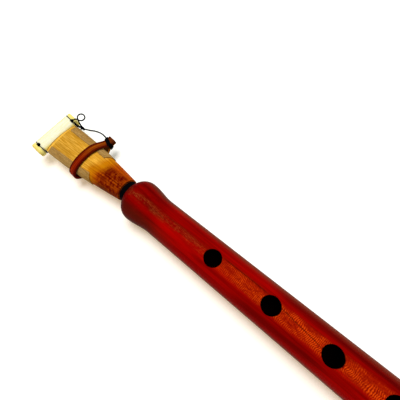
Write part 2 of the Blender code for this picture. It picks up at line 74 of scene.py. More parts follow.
# Paper tapes, which narrow from the throat to the mouth by the length of the left one
TAPE_START = 0.0285
LEFT_TAPE_END = 0.0711
RIGHT_TAPE_END = 0.0694
TAPE_SLANT = 0.0032
TAPE_WALL = 0.00022
TAPE_HALF_THROAT = 0.0072
TAPE_HALF_MOUTH = 0.0047

# Bridle
BRIDLE_PLACE = 0.0414
BRIDLE_TO_TUBE = 0.0020
BRIDLE_YAW = math.radians(4.5)
STRIP_WIDTH = 0.0058
STRIP_WALL = 0.0015
STRIP_MEET = 0.0172
STRIP_MEET_POWER = 1.55
BINDING_PLACE = 0.0165
BINDING_SLANT = 0.30
BINDING_POWER = 6

# Cap, and its ties with the place of each along it and the turn of its knot
CAP_PLACE = 0.0777
CAP_SIDE = -0.0012
CAP_YAW = math.radians(4.0)
CAP_HALF_WIDTH = 0.0055
CAP_HALF_HEIGHT = 0.0038
CAP_POWER = 2.6
CAP_TIES = (
    ("cap_tie_left", -0.0129, math.radians(84)),
    ("cap_tie_right", 0.0140, math.radians(52)),
)
TIE_NOTCH = 0.0009
TIE_RADIUS = 0.00034
KNOT_LIFT = 0.0004

# Tether between cap and bridle: places from the head's face and the tube's axis
LOOP_ROUTE = (
    (-0.0719, 0.0135, 0.0043),
    (-0.0712, 0.0147, 0.0045),
    (-0.0700, 0.0154, 0.0043),
    (-0.0680, 0.0159, 0.0039),
    (-0.0667, 0.0172, 0.0036),
    (-0.0669, 0.0192, 0.0033),
    (-0.0689, 0.0206, 0.0031),
    (-0.0715, 0.0207, 0.0030),
    (-0.0732, 0.0195, 0.0029),
    (-0.0735, 0.0179, 0.0028),
    (-0.0728, 0.0168, 0.0026),
    (-0.0715, 0.0160, 0.0023),
    (-0.0697, 0.0151, 0.0019),
    (-0.0677, 0.0144, 0.0013),
    (-0.0664, 0.0140, 0.0008),
)
TETHER_KNOT = (-0.0651, 0.0134, 0.0004)
TAIL_ROUTE = (
    (-0.0713, 0.0124, 0.0019),
    (-0.0703, 0.0122, 0.0018),
    (-0.0691, 0.0122, 0.0017),
    (-0.0678, 0.0124, 0.0013),
    (-0.0664, 0.0129, 0.0006),
    (-0.0655, 0.0133, 0.0004),
)
RUN_ROUTE = (
    (-0.0637, 0.0137, 0.0005),
    (-0.0617, 0.0142, 0.0007),
    (-0.0578, 0.0155, 0.0010),
    (-0.0549, 0.0167, 0.0013),
    (-0.0521, 0.0175, 0.0016),
    (-0.0479, 0.0181, 0.0019),
    (-0.0443, 0.0178, 0.0018),
    (-0.0435, 0.0176, 0.0012),
)
TETHER_STEP = 0.00035
TETHER_RADIUS = 0.00054
TETHER_SPLIT = -0.0545

# Threads as they are drawn: the twist of the tether and the ties, the windings and the knots
STRAND_MAP = "strand"
PLIES = 3
PLY_DEPTH = 0.26
TWIST_PITCH = 0.0040
END_DOME = 0.45
TIE_POINTS = 96
KNOT_POINTS = 60
TIE_KNOT_SIZE = (0.00100, 0.00088, 0.00042)
TIE_KNOT_RADIUS = 0.00040
TETHER_KNOT_SIZE = (0.00170, 0.00095, 0.00060)
TETHER_KNOT_RADIUS = 0.00050
SECOND_STRAND = (0.0001, 0.0004, 0.0006)
LAPPING_PITCH = 1.93 * THREAD_RADIUS
LAPPING_POINTS = 56
UNDER_TURNS = 3
BINDING_PITCH = 1.8 * THREAD_RADIUS
BINDING_POINTS = 48
BINDING_TURNS = 4
BINDING_FIRST = 6

# Camera, recovered from the tube's edges and its holes
CAMERA_PLACE = (-0.04629, -0.01147, 0.173592)
CAMERA_RIGHT = (0.74917631, 0.64127817, -0.16582272)
CAMERA_DOWN = (0.5533501, -0.74353647, -0.37544265)
CAMERA_AHEAD = (-0.36405841, 0.18951472, -0.91189125)
CAMERA_NEAREST = 0.01
SENSOR_WIDTH = 36.0
LENS = 27.717

# Light and table: a wide lamp nearly overhead, a white world, and what lifts the shadows
LAMP_STRENGTH = 2.50
LAMP_WIDTH = math.radians(30.0)
LAMP_FROM = (0.03, 0.18, 0.983)
WORLD_LEVEL = 0.35
TABLE_SIZE = 3.0
NEAR_LIFT = (0.33, 0.23, 0.11)
FAR_LIFT = (0.29, 0.31, 0.26)

# Ripples along the tube's top for each millimetre, and millimetres in a metre
RIPPLES_PER_MM = 1.22
MM = 1000.0


def place(s, y, z):
    """A point of the row frame from its place along the tube, side and height over the axis."""
    return Vector((s + ROW_X, y, z + AXIS_HEIGHT))


def new_object(name, data):
    """A new object in the scene."""
    item = bpy.data.objects.new(name, data)
    bpy.context.scene.collection.objects.link(item)
    return item


def make_camera():
    data = bpy.data.cameras.new("camera")
    data.sensor_width = SENSOR_WIDTH
    data.lens = LENS
    data.clip_start = CAMERA_NEAREST
    camera = new_object("camera", data)
    up = [-v for v in CAMERA_DOWN]
    back = [-v for v in CAMERA_AHEAD]
    turn = Matrix((CAMERA_RIGHT, up, back)).transposed()
    camera.matrix_world = Matrix.Translation(CAMERA_PLACE) @ turn.to_4x4()
    bpy.context.scene.camera = camera


# Curves and sweeps


def smooth_curve(route):
    """Points about a step apart on a smooth curve through the route's own points."""
    places = [Vector(point) for point in route]
    ends = [2 * places[0] - places[1]] + places + [2 * places[-1] - places[-2]]
    points = []
    for a, b, c, d in zip(ends, ends[1:], ends[2:], ends[3:]):
        count = max(2, round((c - b).length / TETHER_STEP))
        for i in range(count):
            t = i / count
            once = (c - a) * t
            twice = (2 * a - 5 * b + 4 * c - d) * t**2
            thrice = (3 * b - a - 3 * c + d) * t**3
            points.append(0.5 * (2 * b + once + twice + thrice))
    points.append(places[-1])
    return points


def path_frames(points, closed):
    """Directions along a path, and two unit vectors square to each, carried without spin."""
    count = len(points)
    tangents = []
    for i in range(count):
        if closed:
            ahead = points[(i + 1) % count] - points[i - 1]
        else:
            ahead = points[min(i + 1, count - 1)] - points[max(i - 1, 0)]
        tangents.append(ahead.normalized())
    side = tangents[0].orthogonal().normalized()
    frames = []
    for tangent in tangents:
        side = (side - tangent * side.dot(tangent)).normalized()
        frames.append((side, tangent.cross(side)))
    return tangents, frames


def closing_angle(tangents, frames):
    """Spin between the frame carried once round a closed path and the frame it began with."""
    carried = frames[-1][0]
    carried = (carried - tangents[0] * carried.dot(tangents[0])).normalized()
    side, other = frames[0]
    return math.atan2(carried.dot(other), carried.dot(side))


def thread_data(points, radius=THREAD_RADIUS, closed=False, around=12, plied=True):
    """Vertices, faces and face UVs of a thread. U is millimetres along it and V turns about it."""
    tangents, frames = path_frames(points, closed)
    count = len(points)
    distances = [0.0]
    for a, b in zip(points, points[1:]):
        distances.append(distances[-1] + (b - a).length)
    if closed:
        distances.append(distances[-1] + (points[0] - points[-1]).length)
    total = distances[-1]
    pitch = TWIST_PITCH
    spin_back = 0.0
    if closed:
        pitch = PLIES * total / max(1, round(PLIES * total / TWIST_PITCH))
        spin_back = closing_angle(tangents, frames)
    twists = [distance / pitch if plied else 0.0 for distance in distances]

    verts = []
    for i, point in enumerate(points):
        side, other = frames[i]
        turn = math.tau * twists[i] - spin_back * distances[i] / total
        for k in range(around):
            share = k / around
            angle = math.tau * share + turn
            groove = 0.5 - 0.5 * math.cos(math.tau * PLIES * share)
            reach = radius * (1 - PLY_DEPTH * groove) if plied else radius
            verts.append(point + reach * (math.cos(angle) * side + math.sin(angle) * other))

    faces = []
    uvs = []
    for i in range(len(distances) - 1):
        j = (i + 1) % count
        near, far = MM * distances[i], MM * distances[i + 1]
        near_twist, far_twist = twists[i], twists[i + 1]
        for k in range(around):
            m = (k + 1) % around
            faces.append((i * around + k, i * around + m, j * around + m, j * around + k))
            low, high = k / around, (k + 1) / around
            uvs.append(
                (
                    (near, low + near_twist),
                    (near, high + near_twist),
                    (far, high + far_twist),
                    (far, low + far_twist),
                )
            )
    if not closed:
        for i, outward in ((0, -tangents[0]), (count - 1, tangents[-1])):
            centre = len(verts)
            verts.append(points[i] + END_DOME * radius * outward)
            along = MM * distances[i]
            for k in range(around):
                ring = (i * around + k, i * around + (k + 1) % around)
                faces.append((centre, *(ring if i else ring[::-1])))
                uvs.append(((along, 0.5), (along, k / around), (along, (k + 1) / around)))
    return verts, faces, uvs


def mesh_object(name, parts):
    """One smooth-shaded object of several lots of vertices, faces and face UVs."""
    verts = []
    faces = []
    uvs = []
    for part_verts, part_faces, part_uvs in parts:
        first = len(verts)
        verts += [tuple(v) for v in part_verts]
        faces += [tuple(first + i for i in face) for face in part_faces]
        uvs += part_uvs
    mesh = bpy.data.meshes.new(name)
    mesh.from_pydata(verts, [], faces)
    layer = mesh.uv_layers.new(name=STRAND_MAP)
    for polygon, corners in zip(mesh.polygons, uvs):
        for loop, uv in zip(polygon.loop_indices, corners):
            layer.data[loop].uv = uv
    bm = bmesh.new()
    bm.from_mesh(mesh)
    bmesh.ops.recalc_face_normals(bm, faces=bm.faces)
    bm.to_mesh(mesh)
    bm.free()
    mesh.shade_smooth()
    return new_object(name, mesh)


def knot_data(centre, along, out, size, radius):
    """A pulled-tight overhand knot about a centre, flat against the surface that out stands on."""
    along = along.normalized()
    out = (out - along * out.dot(along)).normalized()
    across = out.cross(along)
    points = []
    for i in range(KNOT_POINTS):
        t = math.tau * i / KNOT_POINTS
        a = (math.sin(t) + 2 * math.sin(2 * t)) / 3
        b = (math.cos(t) - 2 * math.cos(2 * t)) / 3
        c = -math.sin(3 * t)
        points.append(centre + size[0] * a * along + size[1] * b * across + size[2] * c * out)
    return thread_data(points, radius, closed=True)


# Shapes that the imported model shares


def rounded(value):
    """Smooth rise from 0 to 1."""
    value = min(max(value, 0.0), 1.0)
    return value * value * (3 - 2 * value)


def super_arc(half_width, half_height, power, angle):
    """A point on a superellipse."""
    c = math.cos(angle)
    s = math.sin(angle)
    return (
        math.copysign(half_width * abs(c) ** (2 / power), c),
        math.copysign(half_height * abs(s) ** (2 / power), s),
    )


def blade_share(s):
    """How far along the blade a place is, from 0 at the throat to 1 at the lips."""
    return (-s - LAPPING_SHOWN) / BLADE_LENGTH


def blade_half_width(share):
    widening = 1 - (1 - share) ** WIDTH_POWER
    return THROAT_RADIUS + (MOUTH_HALF_WIDTH - THROAT_RADIUS) * widening


def blade_half_height(share):
    ease = 0.5 * (1 + math.cos(math.pi * share**HEIGHT_POWER))
    return MOUTH_HALF_HEIGHT + (THROAT_RADIUS - MOUTH_HALF_HEIGHT) * ease


def blade_point(s, angle):
    """A point on the blade's outside, which grows more lens-shaped towards the lips."""
    share = blade_share(s)
    power = 1 + (LENS_POWER - 1) * rounded((share - LENS_FROM) / (1 - LENS_FROM))
    up = math.sin(angle)
    height = blade_half_height(share) * math.copysign(abs(up) ** power, up)
    side = -BLADE_LEAN * share + blade_half_width(share) * math.cos(angle)
    return Vector((s, side, height))


def point_over_blade(s, angle, proud):
    step = math.radians(0.5)
    along = blade_point(s, angle + step) - blade_point(s, angle - step)
    out = Vector((0.0, along.z, -along.y)).normalized()
    return blade_point(s, angle) + out * proud


def yawed_place(x, y, z, yaw, s, side):
    """A point of the row frame from the middle of a piece that is turned on the reed."""
    cos = math.cos(-yaw)
    sin = math.sin(-yaw)
    return place(x * cos - y * sin - s, x * sin + y * cos + side, z)


def cap_place(x, y, z):
    return yawed_place(x, y, z, CAP_YAW, CAP_PLACE, CAP_SIDE)


def bridle_place(x, y, z):
    return yawed_place(x, y, z, BRIDLE_YAW, BRIDLE_PLACE, 0.0)


# Materials


class Looks:
    """A material and the nodes that feed its shader."""

    def __init__(self, name, roughness, specular, tint=(1.0, 1.0, 1.0)):
        self.material = bpy.data.materials.new(name)
        self.material.use_nodes = True
        self.tree = self.material.node_tree
        self.shader = self.tree.nodes["Principled BSDF"]
        self.shader.inputs["Roughness"].default_value = roughness
        self.shader.inputs["Specular Tint"].default_value = (*tint, 1.0)
        self.shader.inputs["Specular IOR Level"].default_value = specular

    def add(self, kind, inputs, **settings):
        node = self.tree.nodes.new(kind)
        for key, value in settings.items():
            setattr(node, key, value)
        for key, value in inputs.items():
            if isinstance(value, bpy.types.NodeSocket):
                self.tree.links.new(value, node.inputs[key])
            else:
                node.inputs[key].default_value = value
        return node

    def feed(self, name, value):
        """Links a value to one of the shader's own inputs."""
        self.tree.links.new(value, self.shader.inputs[name])

    def millimetres(self, centre, yaw=0.0):
        """Coordinates on the piece in millimetres from a point, turned by yaw."""
        coordinates = self.add("ShaderNodeTexCoord", {}).outputs["Object"]
        moved = self.add(
            "ShaderNodeVectorMath", {0: coordinates, 1: tuple(centre)}, operation="SUBTRACT"
        ).outputs[0]
        return self.add(
            "ShaderNodeMapping",
            {"Vector": moved, "Rotation": (0.0, 0.0, yaw), "Scale": (MM, MM, MM)},
        ).outputs[0]

    def split(self, vector):
        return self.add("ShaderNodeSeparateXYZ", {0: vector}).outputs

    def joined(self, x, y, z):
        return self.add("ShaderNodeCombineXYZ", {0: x, 1: y, 2: z}).outputs[0]

    def math(self, operation, *values):
        return self.add("ShaderNodeMath", dict(enumerate(values)), operation=operation).outputs[0]

    def times(self, product, *factors):
        for factor in factors:
            product = self.math("MULTIPLY", product, factor)
        return product

    def off(self, value, target):
        """How far a value is from a target."""
        return self.math("ABSOLUTE", self.math("SUBTRACT", value, target))

    def noise(self, vector, sizes, detail=3.0, rough=0.6, seed=0.0):
        """Smooth noise whose detail is finer along an axis with a larger size."""
        scaled = self.add("ShaderNodeVectorMath", {0: vector, 1: sizes}, operation="MULTIPLY")
        return self.add(
            "ShaderNodeTexNoise",
            {
                "Vector": scaled.outputs[0],
                "Scale": 1.0,
                "Detail": detail,
                "Roughness": rough,
                "W": seed,
            },
            noise_dimensions="4D",
        ).outputs["Fac"]

    def between(self, value, low, high, to_low=0.0, to_high=1.0):
        """Smooth change of a value from to_low at low to to_high at high."""
        return self.add(
            "ShaderNodeMapRange",
            {"Value": value, 1: low, 2: high, 3: to_low, 4: to_high},
            interpolation_type="SMOOTHSTEP",
        ).outputs[0]

    def mix(self, share, first, second, blend="MIX"):
        node = self.add("ShaderNodeMix", {}, data_type="RGBA", blend_type=blend)
        for index, value in ((0, share), (6, first), (7, second)):
            if isinstance(value, bpy.types.NodeSocket):
                self.tree.links.new(value, node.inputs[index])
            else:
                node.inputs[index].default_value = value if index == 0 else (*value, 1.0)
        return node.outputs[2]

    def shaded(self, colour, level):
        """A colour made darker or lighter by a level."""
        grey = self.add("ShaderNodeCombineColor", {0: level, 1: level, 2: level}).outputs[0]
        return self.mix(1.0, colour, grey, "MULTIPLY")

    def ramp(self, value, *stops):
        node = self.add("ShaderNodeValToRGB", {0: value})
        elements = node.color_ramp.elements
        while len(elements) < len(stops):
            elements.new(0.5)
        for element, (at, colour) in zip(elements, stops):
            element.position = at
            element.color = (*colour, 1.0)
        return node.outputs[0]

    def finish(self, colour, height, strength, distance, roughness):
        self.feed("Base Color", colour)
        self.feed("Roughness", roughness)
        bump = self.add(
            "ShaderNodeBump", {"Height": height, "Strength": strength, "Distance": distance}
        )
        self.feed("Normal", bump.outputs[0])
        return self.material


def stained_wood():
    """Deep red stain over fine-grained fruit wood, lighter and finely rippled along the top."""
    looks = Looks("stained_wood", 0.34, 0.006, (1.0, 0.12, 0.04))
    point = looks.millimetres(place(0.0, 0.0, 0.0))
    x, y, z = looks.split(point)[:3]
    depth = looks.math("SQRT", looks.math("MULTIPLY_ADD", y, y, looks.times(z, z)))
    height = looks.math("DIVIDE", z, depth)
    upper = looks.between(height, 0.40, 0.85)
    long_grain = looks.noise(point, (0.014, 0.34, 0.34), detail=4.0)
    fine_grain = looks.noise(point, (0.07, 2.6, 2.6), seed=3.0)
    flecks = looks.noise(point, (0.85, 1.2, 1.2), rough=0.65, seed=5.0)
    wander = looks.noise(point, (0.10, 0.22, 0.22), 2.0, 0.5, 11.0)
    patches = looks.noise(point, (0.11, 0.32, 0.32), 2.0, 0.5, 8.0)

    # Red ground, with one bright streak on the head and a dark one along each side further on
    red = looks.ramp(
        long_grain,
        (0.30, (0.165, 0.0005, 0.0002)),
        (0.42, (0.235, 0.0006, 0.0002)),
        (0.52, (0.295, 0.0008, 0.0002)),
        (0.60, (0.360, 0.0010, 0.0003)),
        (0.70, (0.245, 0.0006, 0.0002)),
    )
    bright = looks.off(y, looks.math("MULTIPLY_ADD", x, -0.055, -1.9))
    bright = looks.times(looks.between(bright, 2.0, 0.6), looks.between(x, 60.0, 48.0), 0.65)
    red = looks.mix(bright, red, (0.430, 0.0008, 0.0002))
    dark_red = (0.070, 0.0006, 0.0002)
    low = looks.between(looks.off(y, -7.5), 2.2, 0.5)
    low = looks.times(low, looks.between(x, 78.0, 92.0), looks.between(x, 136.0, 122.0), 0.55)
    red = looks.mix(low, red, dark_red)
    high = looks.between(looks.off(y, 7.2), 3.0, 0.8)
    high = looks.times(high, looks.between(x, 92.0, 108.0), 0.60)
    red = looks.mix(high, red, dark_red)

    # Rippled orange band along the top
    ripple = looks.math("MULTIPLY_ADD", wander, 5.0, looks.times(x, RIPPLES_PER_MM))
    ripple = looks.math("SINE", looks.times(ripple, math.tau))
    ripple = looks.times(ripple, looks.between(patches, 0.38, 0.62, 0.03, 0.24))
    figure = looks.math("ADD", flecks, ripple)
    figure = looks.math("MULTIPLY_ADD", patches, 0.7, looks.math("SUBTRACT", figure, 0.35))
    orange = looks.ramp(
        figure,
        (0.22, (0.190, 0.0012, 0.0002)),
        (0.50, (0.350, 0.0130, 0.0006)),
        (0.80, (0.680, 0.0600, 0.0020)),
    )
    centred = looks.math("MULTIPLY_ADD", wander, 1.6, looks.math("SUBTRACT", y, 0.9))
    centred = looks.math("ABSOLUTE", centred)
    spread = looks.math("MULTIPLY_ADD", long_grain, 2.4, looks.math("SUBTRACT", centred, 1.2))
    band = looks.times(
        looks.between(spread, 4.8, 1.6),
        looks.between(x, 62.0, 90.0, 0.35, 1.0),
        looks.between(x, 50.0, 66.0),
        upper,
    )
    colour = looks.mix(band, red, orange)

    # Browner mottling along the top of the head
    mottle = looks.times(
        looks.between(centred, 3.2, 0.6),
        looks.between(x, 64.0, 54.0),
        looks.between(flecks, 0.40, 0.60, 0.30, 0.75),
        looks.between(patches, 0.34, 0.56, 0.35, 1.0),
        looks.between(x, 20.0, 28.0, 1.25, 0.55),
        upper,
    )
    mottled = looks.ramp(
        figure,
        (0.34, (0.130, 0.0020, 0.0006)),
        (0.48, (0.280, 0.0220, 0.0050)),
        (0.64, (0.420, 0.0700, 0.0140)),
    )
    colour = looks.mix(mottle, colour, mottled)

    # Two dark hairlines in the grain
    drop = looks.math("MAXIMUM", looks.math("SUBTRACT", x, 101.0), 0.0)
    line = looks.math("MULTIPLY_ADD", drop, 0.112, looks.math("SUBTRACT", y, 2.3))
    line = looks.math("MULTIPLY_ADD", flecks, 1.1, looks.math("SUBTRACT", line, 0.55))
    vein = looks.times(
        looks.between(looks.math("ABSOLUTE", line), 0.32, 0.08),
        looks.between(x, 98.0, 104.0, 0.0, 0.75),
        looks.between(x, 134.0, 124.0),
    )
    upper_line = looks.times(
        looks.between(looks.off(y, 3.5), 0.55, 0.15),
        looks.between(x, 66.0, 72.0, 0.0, 0.55),
        looks.between(x, 98.0, 92.0),
    )
    vein = looks.times(looks.math("MAXIMUM", vein, upper_line), upper)
    colour = looks.mix(vein, colour, (0.040, 0.0008, 0.0003))

    # Browner, darker flanks set by height: a painted rim reflection and shade. Then a darker lower
    # flank and darker ends of the head
    sheen_from = looks.between(y, -1.0, 1.0, 0.46, 0.74)
    edge_tint = looks.math("MULTIPLY_ADD", long_grain, 0.20, looks.math("SUBTRACT", sheen_from, 0.10))
    edge_tint = looks.between(looks.math("SUBTRACT", edge_tint, height), -0.02, 0.34, 0.0, 0.85)
    edge_tint = looks.times(edge_tint, looks.between(height, -0.75, -0.10, 0.25, 1.0))
    colour = looks.mix(edge_tint, colour, (0.165, 0.0300, 0.0085))
    low_head = looks.times(looks.between(y, -3.5, -9.0, 0.0, 0.75), looks.between(x, 50.0, 16.0))
    colour = looks.mix(low_head, colour, (0.115, 0.0110, 0.0040))
    # Grain tone, a darker head, and painted shade where the head's face rounds off
    shade = looks.times(
        looks.between(fine_grain, 0.35, 0.65, 0.84, 1.08),
        looks.between(x, 22.0, 34.0, 0.68, 1.0),
        looks.between(x, 1.5, 7.5, 0.55, 1.0),
    )
    colour = looks.shaded(colour, shade)

    # Painted shade: nearly black inside the bore, the holes and the socket
    inside = looks.times(
        looks.between(depth, 10.75, 10.45),
        looks.between(x, 3.0, 4.0),
        looks.between(x, 374.6, 374.0),
    )
    socket = looks.times(looks.between(depth, 7.35, 7.2), looks.between(x, 4.0, 3.0))
    inside = looks.math("MAXIMUM", inside, socket)
    colour = looks.mix(inside, colour, (0.0012, 0.0003, 0.0002))
    roughness = looks.between(long_grain, 0.3, 0.7, 0.28, 0.40)
    roughness = looks.math("MAXIMUM", roughness, looks.times(inside, 0.9))
    return looks.finish(colour, fine_grain, 0.10, 0.00008, roughness)


def cane_looks():
    """Golden cane with long fibres that fan out with the blade, scorched dark towards its tail."""
    looks = Looks("cane", 0.42, 0.004, (1.0, 0.65, 0.20))
    point = looks.millimetres(place(0.0, 0.0, 0.0))
    x, y, z = looks.split(point)[:3]

    # Fibres that keep their number across the blade's width
    share = looks.math("SUBTRACT", -MM * LAPPING_SHOWN, x)
    share = looks.math("DIVIDE", share, MM * BLADE_LENGTH)
    share = looks.math("MINIMUM", looks.math("MAXIMUM", share, 0.0), 1.0)
    left = looks.math("POWER", looks.math("SUBTRACT", 1.0, share), WIDTH_POWER)
    narrowing = MM * (THROAT_RADIUS - MOUTH_HALF_WIDTH)
    width = looks.math("MULTIPLY_ADD", left, narrowing, MM * MOUTH_HALF_WIDTH)
    side = looks.math("MULTIPLY_ADD", share, MM * BLADE_LEAN, y)
    fan = looks.math("DIVIDE", looks.times(side, 10.0), width)
    fanned = looks.joined(x, fan, looks.times(z, 0.35))
    fibres = looks.noise(fanned, (0.014, 2.1, 2.1), 4.0, 0.66)
    wide = looks.noise(fanned, (0.030, 0.42, 0.42), 2.0, 0.5, 2.0)
    stains = looks.noise(fanned, (0.10, 0.16, 0.16), 3.0, 0.55, 4.0)
    cells = looks.noise(point, (0.62, 0.40, 0.40), 4.0, 0.60, 9.0)

    # Gold at the lips, then amber, then toasted
    gold = looks.ramp(
        fibres,
        (0.28, (0.460, 0.195, 0.011)),
        (0.46, (0.620, 0.285, 0.017)),
        (0.60, (0.870, 0.470, 0.062)),
    )
    gold = looks.shaded(gold, looks.between(x, -62.0, -36.0, 0.86, 1.12))
    amber = looks.ramp(
        fibres,
        (0.30, (0.360, 0.0900, 0.0008)),
        (0.46, (0.520, 0.1650, 0.0015)),
        (0.62, (0.660, 0.2400, 0.0030)),
    )
    toast = looks.ramp(
        fibres,
        (0.30, (0.212, 0.0130, 0.0003)),
        (0.46, (0.345, 0.0350, 0.0004)),
        (0.62, (0.520, 0.0900, 0.0010)),
    )
    edge = looks.math("MULTIPLY_ADD", stains, 12.0, looks.math("SUBTRACT", x, 6.0))
    low_edge = looks.math("ADD", edge, looks.between(y, 3.0, -5.0, 0.0, 4.5))
    colour = looks.mix(looks.between(low_edge, -33.0, -26.0), gold, amber)
    colour = looks.mix(looks.between(low_edge, -26.0, -17.0, 0.0, 0.92), colour, toast)

    # Burnt spots, densest along the scorch's front
    burnt = looks.times(
        looks.between(edge, -26.0, -18.5),
        looks.between(edge, -1.5, -6.5),
        looks.between(y, 6.2, 3.4),
        looks.between(y, -10.0, -7.0, 0.45, 1.0),
    )
    spots = looks.math("MULTIPLY_ADD", fibres, 0.35, looks.math("SUBTRACT", cells, 0.175))
    spots = looks.between(spots, 0.62, 0.40, 0.34, 1.0)
    front = looks.between(looks.off(edge, -17.5), 4.2, 0.5, 0.0, 0.80)
    spots = looks.math("MAXIMUM", spots, front)
    colour = looks.mix(looks.times(burnt, spots), colour, (0.122, 0.0020, 0.0003))
    streaks = looks.math("SUBTRACT", looks.between(fibres, 0.34, 0.66, 0.72, 1.22), 1.0)
    colour = looks.shaded(colour, looks.math("MULTIPLY_ADD", burnt, streaks, 1.0))

    # Dark low rim of the throat, and a light tan band where the lips enter the cap, painted light
    # against the cap's shadow
    low_rim = looks.times(
        looks.between(side, -6.8, -8.6), looks.between(x, -26.0, -20.0, 0.0, 0.75)
    )
    colour = looks.mix(low_rim, colour, (0.130, 0.0200, 0.0004))
    rim = looks.times(looks.between(x, -70.6, -71.4), looks.between(x, -73.4, -72.4), 0.8)
    colour = looks.mix(rim, colour, (0.940, 0.530, 0.068))
    colour = looks.shaded(colour, looks.between(wide, 0.3, 0.7, 0.88, 1.06))
    roughness = looks.between(wide, 0.3, 0.7, 0.34, 0.50)
    return looks.finish(colour, fibres, 0.25, 0.00010, roughness)


def tape_looks():
    """Thin brown paper tape, its fibres and the cane's own streaks showing through."""
    looks = Looks("paper_tape", 0.60, 0.006, (1.0, 0.85, 0.60))
    point = looks.millimetres(place(0.0, 0.0, 0.0))
    streaks = looks.noise(point, (0.035, 1.1, 1.1), seed=1.0)
    paper = looks.noise(point, (1.6, 2.6, 2.6), seed=6.0)
    ribs = looks.noise(point, (0.30, 3.4, 3.4), detail=2.0, seed=2.0)
    colour = looks.ramp(
        streaks,
        (0.32, (0.330, 0.165, 0.036)),
        (0.50, (0.400, 0.225, 0.060)),
        (0.68, (0.470, 0.285, 0.098)),
    )
    colour = looks.shaded(colour, looks.between(paper, 0.3, 0.7, 0.90, 1.08))
    colour = looks.shaded(colour, looks.between(ribs, 0.38, 0.62, 0.72, 1.14))
    roughness = looks.between(paper, 0.3, 0.7, 0.52, 0.70)
    return looks.finish(colour, paper, 0.25, 0.00006, roughness)


def strip_looks():
    """Steamed vine strip: long streaks, redder on its bend and browner towards its ends."""
    looks = Looks("strip_wood", 0.38, 0.006, (1.0, 0.30, 0.15))
    point = looks.millimetres(place(-BRIDLE_PLACE, 0.0, 0.0), BRIDLE_YAW)
    x, y, z = looks.split(point)[:3]
    streaks = looks.noise(point, (1.75, 0.050, 0.050))
    pores = looks.noise(point, (3.4, 0.35, 0.35), detail=2.0, seed=3.0)
    red = looks.ramp(
        streaks,
        (0.34, (0.110, 0.0012, 0.0004)),
        (0.48, (0.225, 0.0085, 0.0008)),
        (0.60, (0.390, 0.0360, 0.0016)),
        (0.70, (0.195, 0.0075, 0.0008)),
    )
    brown = looks.ramp(
        streaks,
        (0.34, (0.120, 0.0110, 0.0006)),
        (0.48, (0.235, 0.0350, 0.0010)),
        (0.60, (0.360, 0.0780, 0.0024)),
        (0.70, (0.200, 0.0260, 0.0010)),
    )
    colour = looks.mix(looks.between(y, -6.0, 7.0), red, brown)
    wavy = looks.math("MULTIPLY_ADD", streaks, 1.4, looks.math("SUBTRACT", x, 0.7))
    rim = looks.math(
        "MAXIMUM", looks.between(wavy, -0.7, -1.7), looks.between(wavy, 1.4, 2.2)
    )
    colour = looks.mix(looks.times(rim, 0.90), colour, (0.075, 0.0012, 0.0005))
    tip = looks.between(y, 15.5, 18.0, 0.0, 0.75)
    colour = looks.mix(tip, colour, (0.085, 0.0170, 0.0030))
    lower_leg = looks.times(looks.between(y, 7.0, 10.0), looks.between(z, -0.4, -1.2))
    gold = looks.ramp(
        streaks, (0.40, (0.085, 0.0140, 0.0008)), (0.52, (0.420, 0.1500, 0.0120))
    )
    colour = looks.mix(lower_leg, colour, gold)
    colour = looks.shaded(colour, looks.between(pores, 0.35, 0.65, 0.82, 1.08))
    roughness = looks.between(streaks, 0.3, 0.7, 0.34, 0.48)
    return looks.finish(colour, pores, 0.22, 0.00010, roughness)


def cap_looks():
    """Pale bare wood, yellowed along its edges and where it is handled."""
    looks = Looks("pale_wood", 0.55, 0.050)
    point = looks.millimetres(place(-CAP_PLACE, CAP_SIDE, 0.0), CAP_YAW)
    x, y = looks.split(point)[:2]
    grain = looks.noise(point, (1.1, 0.07, 1.1), rough=0.55)
    fine = looks.noise(point, (4.2, 0.25, 4.2), detail=2.0, seed=2.0)
    patch = looks.noise(point, (0.35, 0.22, 0.35), 2.0, 0.5, 5.0)
    pale = looks.ramp(
        grain,
        (0.34, (0.920, 0.900, 0.580)),
        (0.52, (0.960, 0.955, 0.720)),
        (0.70, (0.970, 0.965, 0.790)),
    )
    patchy_x = looks.math("MULTIPLY_ADD", patch, 2.0, x)
    patchy_y = looks.math("MULTIPLY_ADD", patch, 2.0, y)
    long_edges = looks.math(
        "MAXIMUM", looks.between(patchy_x, -1.4, -3.3), looks.between(patchy_x, 5.2, 6.6)
    )
    ends = looks.math(
        "MAXIMUM", looks.between(patchy_y, -11.6, -13.2), looks.between(y, 13.6, 14.8)
    )
    edge_tint = looks.times(looks.math("MAXIMUM", long_edges, ends), 0.88)
    colour = looks.mix(edge_tint, pale, (0.960, 0.810, 0.165))
    # Painted shade: the cap's left end darker and browner
    left_end_shade = looks.times(
        looks.between(y, -14.8, -16.2), looks.between(patch, 0.3, 0.6, 0.85, 0.50)
    )
    colour = looks.mix(left_end_shade, colour, (0.700, 0.480, 0.090))
    lines = looks.times(looks.between(looks.off(fine, 0.5), 0.050, 0.010), 0.45)
    colour = looks.mix(lines, colour, (0.900, 0.700, 0.180))
    colour = looks.shaded(colour, looks.between(fine, 0.3, 0.7, 0.93, 1.02))
    roughness = looks.between(fine, 0.3, 0.7, 0.48, 0.62)
    return looks.finish(colour, fine, 0.18, 0.00008, roughness)


